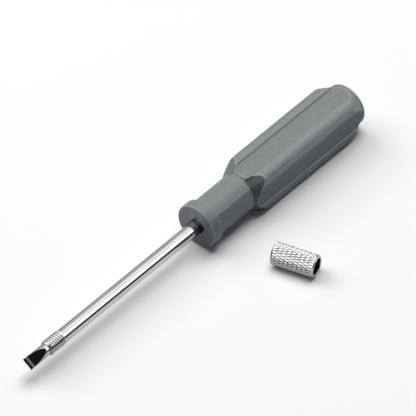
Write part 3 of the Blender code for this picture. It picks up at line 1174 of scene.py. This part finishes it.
@dataclass
class Shank(Piece):
    """The chromed bar: ground blade, rolled thread, round shank and the wings in the handle."""

    tip_half: float = 0.00045
    tip_break: float = 0.00006
    land_length: float = 0.0018
    land_half: float = 0.00065
    flat_length: float = 0.0094
    last_flat: float = 0.0093342
    lean: float = math.radians(32.0)
    nose_radius: float = 0.0026
    thread_start: float = 0.0106
    thread_length: float = 0.0090
    thread_pitch: float = 0.00106
    thread_depth: float = 0.0006
    thread_crest: float = 0.3
    bar_radius: float = 0.0030
    # Painted shade on the bar's underside by the collar.
    stain_length: float = 0.0034
    stain_fade: float = 0.0010
    stain_turn: float = math.radians(212.0)
    stain_least: float = 0.2
    stain_gain: float = 1.6
    wing_setback: float = 0.0030
    wing_length: float = 0.0120
    wing_long: float = 0.0055
    wing_side: float = 0.00125
    tail_chamfer: float = 0.0008
    quarter_points: int = 32
    flat_steps: int = 34
    nose_steps: int = 12
    thread_steps: int = 150
    bar_steps: int = 60

    def __post_init__(self) -> None:
        """Take the shank's place from the frame."""
        low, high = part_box(self.node)
        self.tip = low.x
        self.tail = high.x
        self.collar_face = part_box("handle")[0].x
        self.loft = Loft(self.ring_angles(EIGHTH_TURN) + self.lean)

    def ring_angles(self, half_arc: float) -> Array:
        """Return a ring's angles, with two side arcs of a given half width.

        Args:
            half_arc: Half the angle that each of the blade's round sides takes.

        Returns:
            Angles about the axis, in order.
        """
        share = np.arange(self.quarter_points) / self.quarter_points
        side = -half_arc + 2 * half_arc * share
        top = half_arc + (math.pi - 2 * half_arc) * share
        return np.concatenate([side, top, math.pi + side, math.pi + top])

    def flat_half(self, x: float) -> float:
        """Return half the blade's thickness at a distance from its tip."""
        places = (0.0, self.land_length, self.flat_length)
        return float(np.interp(x, places, (self.tip_half, self.land_half, self.nose_radius)))

    def blade_ring(self, x: float, inset: float = 0.0) -> tuple[Array, Array]:
        """Return one section of the blade.

        Args:
            x: Distance from the tip.
            inset: How far the section is drawn in all round.

        Returns:
            The two coordinates of each point across the axis.
        """
        half = self.flat_half(x) - inset
        radius = self.nose_radius - inset
        half_arc = math.asin(min(half / radius, 1.0))
        angle = self.ring_angles(half_arc)
        wide = radius * np.cos(angle)
        thick = radius * np.sin(angle)
        count = self.quarter_points
        edge = radius * math.cos(half_arc)
        across = edge - 2 * edge * np.arange(count) / count
        for start, sign in ((count, 1), (3 * count, -1)):
            wide[start : start + count] = sign * across
            thick[start : start + count] = sign * half
        cosine, sine = math.cos(self.lean), math.sin(self.lean)
        return wide * cosine - thick * sine, wide * sine + thick * cosine

    def add_blade(self) -> None:
        """Add the rings of the blade and of the nose behind it."""
        flats = np.arange(self.loft.sides) // self.quarter_points % 2 == 1
        self.loft.add(self.tip, *self.blade_ring(0.0, self.tip_break), dark=True)
        for x in (self.tip_break, self.land_length / 2):
            self.loft.add(self.tip + x, *self.blade_ring(x), dark=flats)
        for x in np.linspace(self.land_length, self.last_flat, self.flat_steps):
            self.loft.add(self.tip + x, *self.blade_ring(x), dark=flats & (x < self.last_flat))
        first_arc = math.asin(self.flat_half(self.last_flat) / self.nose_radius)
        for step in range(1, self.nose_steps + 1):
            share = step / self.nose_steps
            x = self.last_flat + (self.thread_start - self.last_flat) * share
            angle = self.ring_angles(first_arc + (EIGHTH_TURN - first_arc) * smooth_step(share)) + self.lean
            y, z = self.nose_radius * np.cos(angle), self.nose_radius * np.sin(angle)
            self.loft.add(self.tip + x, y, z)

    def add_thread(self) -> None:
        """Add the rings that the thread is raised on."""
        start = self.tip + self.thread_start
        for along in np.linspace(0.0, self.thread_length, self.thread_steps + 1)[1:]:
            fade_in = min(1.0, along / self.thread_pitch)
            fade_out = min(1.0, (self.thread_length - along) / self.thread_pitch)
            radius = self.bar_radius + (self.nose_radius - self.bar_radius) * fade_out
            self.loft.turn(start + along, radius, thread=fade_in * fade_out)

    def add_bar(self) -> None:
        """Add the rings of the round bar, the wings and the tail."""
        ends, flanks = slot_edges(self.loft.angles - PARTING, self.wing_long, self.wing_side)
        winged = np.maximum(np.minimum(ends, flanks), self.bar_radius)
        bar_start = self.tip + self.thread_start + self.thread_length
        wings_from = self.collar_face + self.wing_setback
        wings_to = wings_from + self.wing_length
        for x in np.linspace(bar_start, wings_from, self.bar_steps)[1:]:
            self.loft.turn(x, self.bar_radius)
        self.loft.turn(wings_from, winged)
        self.loft.turn(wings_to, winged)
        self.loft.turn(wings_to, self.bar_radius)
        self.loft.turn(self.tail - self.tail_chamfer, self.bar_radius)
        self.loft.turn(self.tail, self.bar_radius - self.tail_chamfer)

    def mark_stain(self, mesh: Mesh) -> None:
        """Mark painted shade on the bar's underside where it enters the collar.

        Args:
            mesh: The shank's mesh.
        """
        x, y, z = self.points(mesh).T
        near = smooth_step((x - self.collar_face + self.stain_length) / self.stain_fade)
        turned = np.cos(np.arctan2(z, y) - self.stain_turn)
        self.add_grime(mesh, near * smooth_step(self.stain_least + self.stain_gain * turned))

    def build(self) -> Object:
        """Build the shank.

        Returns:
            The finished object.
        """
        self.add_blade()
        self.add_thread()
        self.add_bar()
        piece = self.place()
        chrome = CHROME.material()
        start = self.tip + self.thread_start
        THREAD.apply(piece, chrome, start, self.thread_pitch, self.thread_depth, self.thread_crest)
        crest = self.nose_radius + self.thread_depth
        self.mark_grooves(piece.data, crest, self.thread_depth, (start, start + self.thread_length))
        self.mark_stain(piece.data)
        return self.dress(piece, chrome, BLADE_BLACK.material())


@dataclass
class Sleeve(Piece):
    """The knurled guide sleeve, a tube with a plain bore at its mouth and a thread behind."""

    length: float = 0.0185
    radius: float = 0.00475
    edge: float = 0.0004
    guide_radius: float = 0.00355
    guide_depth: float = 0.0095
    thread_radius: float = 0.00335
    thread_pitch: float = 0.00106
    thread_depth: float = 0.0006
    thread_crest: float = 0.2
    thread_steps: int = 110
    knurl_count: int = 26
    knurl_row: float = 0.00395
    knurl_depth: float = 0.00022
    knurl_crest: float = 0.34
    knurl_fade: float = 0.0006
    knurl_steps: int = 120
    points_per_knurl: int = 12
    turn: float = math.radians(105.9)
    # Painted shade on the sleeve's lower side, up to a share of its radius.
    under_grime: float = 0.25
    under_height: float = 0.45
    under_fade: float = 0.20

    def __post_init__(self) -> None:
        """Take the sleeve's place from the frame."""
        low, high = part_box(self.node)
        self.centre = (low + high) / 2
        self.far = self.length / 2
        sides = self.points_per_knurl * self.knurl_count
        self.loft = Loft(FULL_TURN * np.arange(sides) / sides)

    def add_outside(self) -> None:
        """Add the rings of the knurled outside, from the mouth to the far end."""
        half = self.far - self.edge
        self.loft.turn(-self.far, self.radius - self.edge)
        for x in np.linspace(-half, half, self.knurl_steps + 1):
            fade = smooth_step((half - abs(x)) / self.knurl_fade)
            self.loft.turn(x, self.radius, knurl=fade)
        self.loft.turn(self.far, self.radius - self.edge)

    def add_inside(self) -> None:
        """Add the rings of the threaded bore and of the plain one, from the far end to the mouth."""
        chamfer = self.edge / 2
        start = self.far - chamfer
        step_x = self.guide_depth - self.far
        length = start - step_x
        self.loft.turn(self.far, self.thread_radius + chamfer)
        for along in np.linspace(0.0, length, self.thread_steps + 1):
            fade = min(1.0, along / self.thread_pitch, (length - along) / self.thread_pitch)
            self.loft.turn(start - along, self.thread_radius, dark=True, thread=fade)
        cone = self.guide_radius - self.thread_radius
        self.loft.turn(step_x - cone, self.guide_radius, dark=True)
        self.loft.turn(-start, self.guide_radius)
        self.loft.turn(-self.far, self.guide_radius + chamfer)

    def mark_underside(self, mesh: Mesh) -> None:
        """Mark painted shade on the side that the sleeve lies on.

        Args:
            mesh: The sleeve's mesh, with its axis along X.
        """
        height = self.points(mesh)[:, 2] / self.radius
        under = smooth_step((self.under_height - height) / self.under_fade)
        self.add_grime(mesh, self.under_grime * under)

    def build(self) -> Object:
        """Build the sleeve.

        Returns:
            The finished object.
        """
        self.add_outside()
        self.add_inside()
        piece = self.place(tube=True)
        nickel = NICKEL.material()
        knurl = (self.knurl_row, float(self.knurl_count), self.knurl_depth, self.knurl_crest)
        THREAD.apply(piece, nickel, 0.0, self.thread_pitch, -self.thread_depth, self.thread_crest)
        KNURL.apply(piece, nickel, *knurl)
        half = self.far - self.edge
        self.mark_grooves(piece.data, self.radius, self.knurl_depth, (-half, half))
        self.mark_underside(piece.data)
        piece.data.transform(Matrix.Translation(self.centre) @ Matrix.Rotation(self.turn, 4, "Z"))
        return self.dress(piece, nickel, BORE_BLACK.material())


@dataclass(frozen=True)
class Lamp:
    """A soft rectangular lamp that faces the object."""

    name: str
    place: Triple
    length: float
    height: float
    watts: float
    distance: float = 2.6
    color: Triple = (1.0, 0.995, 0.98)

    def add(self) -> None:
        """Put the lamp into the scene, where bright metal doesn't see it."""
        data = bpy.data.lights.new(self.name, "AREA")
        data.shape = "RECTANGLE"
        data.size = self.length
        data.size_y = self.height
        data.energy = self.watts
        data.color = self.color
        back = Vector(self.place).normalized()
        level = Vector((0.0, 0.0, 1.0)).cross(back).normalized()
        turned = Matrix((level, back.cross(level), back)).transposed().to_4x4()
        turned.translation = CENTRE + back * self.distance
        lamp = bpy.data.objects.new(self.name, data)
        lamp.matrix_world = turned
        lamp.visible_glossy = False
        bpy.context.scene.collection.objects.link(lamp)


LAMPS = (
    Lamp(name="key_lamp", place=(0.26, 0.07, 0.95), length=1.6, height=2.2, watts=50.4),
    Lamp(name="side_lamp", place=(-0.12, 0.68, 0.72), length=2.0, height=2.0, watts=40.0),
)


@dataclass(frozen=True)
class Room:
    """What bright metal sees round the tool's axis, as angles in degrees and levels of light.

    The angle is 0 at the back and 90 at the top. The light changes evenly in between.
    """

    floor: Span = (-90.0, 0.45)
    back: Span = (0.0, 0.42)
    back_wall: Span = (17.0, 0.50)
    high_wall: Span = (34.0, 0.68)
    ceiling: Span = (60.0, 0.80)
    first_panel: Span = (70.0, 1.50)
    first_panel_end: Span = (94.0, 1.60)
    gap: Span = (98.0, 0.85)
    gap_end: Span = (103.0, 0.85)
    second_panel: Span = (108.0, 1.60)
    second_panel_middle: Span = (118.0, 2.00)
    second_panel_end: Span = (148.0, 2.00)
    dark_front: Span = (154.0, 0.06)
    dark_front_end: Span = (186.0, 0.05)
    front_floor: Span = (200.0, 0.30)

    def paint(self, ramp: ColorRamp) -> None:
        """Paint the room on a colour ramp.

        Args:
            ramp: Ramp over the angle about the axis, which starts straight down.
        """
        ramp.interpolation = "LINEAR"
        ramp.elements.remove(ramp.elements[-1])
        for number, (degrees, level) in enumerate(astuple(self)):
            position = (degrees - self.floor[0]) / math.degrees(FULL_TURN)
            stop = ramp.elements[0] if number == 0 else ramp.elements.new(position)
            stop.position = position
            stop.color = (level, level, level, 1.0)


@dataclass
class Studio:
    """The pale surface, the soft light and the camera."""

    surface_size: float = 6.0
    ambient: Triple = (0.036, 0.039, 0.045)
    backdrop: Triple = (0.955, 0.955, 0.95)
    front: Triple = (-0.75, -0.40, 0.52)
    front_fade: Span = (0.70, 0.92)
    front_share: float = 0.10
    bar_slant: float = 0.534
    slant_fade: Span = (0.08, 0.25)
    side_gain: float = 2.7
    back_fade: Span = (-0.2, 0.05)
    image_pixels: float = 416.0
    pixels_per_metre: float = 2540.0
    elevation: float = math.radians(45.0)
    heading: float = math.radians(49.07)
    collar_pixel: Span = (196.0, 226.95)
    camera_distance: float = 6.0
    camera_clip: Span = (0.1, 24.0)
    sensor: float = 36.0

    def add_surface(self) -> None:
        """Add the pale surface under the object."""
        half = self.surface_size / 2
        sides = ((-half, -half), (half, -half), (half, half), (-half, half))
        mesh = bpy.data.meshes.new("surface_shape")
        mesh.from_pydata([(x, y, CAD_BOX[0].z) for x, y in sides], [], [(0, 1, 2, 3)])
        surface = bpy.data.objects.new("surface", mesh)
        mesh.materials.append(PAPER.material())
        bpy.context.scene.collection.objects.link(surface)

    def add_world(self) -> None:
        """Add the room: white to the camera, dim to matt surfaces, and light panels to bright metal."""
        world = bpy.data.worlds.new("studio_room")
        bpy.context.scene.world = world
        world.use_nodes = True
        make = TreeBuilder(world.node_tree)
        place = make.place("Generated")
        axes = make.axes(place)
        angle = make.math("ARCTAN2", axes["Z"], axes["Y"])
        share = make.math("FRACT", make.math("ADD", make.math("DIVIDE", angle, FULL_TURN), 0.25))
        ramp = make.node("ShaderNodeValToRGB", {0: share})
        Room().paint(ramp.color_ramp)
        facing = make.vector("DOT_PRODUCT", {0: place, 1: Vector(self.front).normalized()}, "Value")
        behind = make.range(facing, self.front_fade, (1.0, self.front_share))
        panels = make.mix(behind, (0.0, 0.0, 0.0, 1.0), ramp.outputs["Color"])
        slant = make.math("ABSOLUTE", make.math("SUBTRACT", axes["X"], self.bar_slant))
        away = make.range(slant, self.slant_fade, (0.0, self.side_gain - 1.0))
        gain = make.math("MULTIPLY_ADD", away, make.range(axes["Y"], self.back_fade), 1.0)
        room = make.vector("SCALE", {0: panels, "Scale": gain})
        ray = make.node("ShaderNodeLightPath", {}).outputs
        seen = make.math("MAXIMUM", ray["Is Camera Ray"], ray["Is Transmission Ray"])
        lit = make.mix(ray["Is Glossy Ray"], (*self.ambient, 1.0), room)
        color = make.mix(seen, lit, (*self.backdrop, 1.0))
        make.fill(world.node_tree.nodes["Background"], {"Color": color})

    def add_camera(self) -> None:
        """Add the camera at the photograph's angle, so far away that no perspective shows."""
        right = Vector((math.cos(self.heading), -math.sin(self.heading), 0.0))
        away = Vector((math.sin(self.heading), math.cos(self.heading), 0.0))
        top = Vector((0.0, 0.0, 1.0))
        towards = math.sin(self.elevation) * top - math.cos(self.elevation) * away
        up = math.cos(self.elevation) * top + math.sin(self.elevation) * away
        middle = self.image_pixels / 2
        collar = Vector((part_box("handle")[0].x, 0.0, 0.0))
        aim = collar + right * ((middle - self.collar_pixel[0]) / self.pixels_per_metre)
        aim += up * ((self.collar_pixel[1] - middle) / self.pixels_per_metre)
        data = bpy.data.cameras.new("camera")
        data.sensor_width = self.sensor
        data.lens = self.pixels_per_metre * self.camera_distance / self.image_pixels * self.sensor
        data.clip_start, data.clip_end = self.camera_clip
        camera = bpy.data.objects.new("camera", data)
        turned = Matrix((right, up, towards)).transposed().to_4x4()
        turned.translation = aim + towards * self.camera_distance
        camera.matrix_world = turned
        bpy.context.scene.collection.objects.link(camera)
        bpy.context.scene.camera = camera

    def build(self) -> None:
        """Build the studio."""
        self.add_surface()
        for lamp in LAMPS:
            lamp.add()
        self.add_world()
        self.add_camera()
        bpy.context.scene.view_settings.view_transform = "Standard"


def write_sizes() -> None:
    """Update the view layer."""
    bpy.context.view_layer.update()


def main() -> None:
    """Build the studio and the pieces, and report each one."""
    logging.basicConfig(level=logging.INFO, format="%(message)s")
    Studio().build()
    pieces: tuple[Handle | Shank | Sleeve, ...] = (
        Handle("handle", Body.DRIVER, Slot.PLASTIC),
        Shank("shank", Body.DRIVER, Slot.CHROME),
        Sleeve("sleeve", Body.SLEEVE, Slot.NICKEL),
    )
    for piece in pieces:
        made = piece.build()
        LOG.info("%s stands for %s", made.name, piece.node)
    write_sizes()


if __name__ == "__main__":
    main()
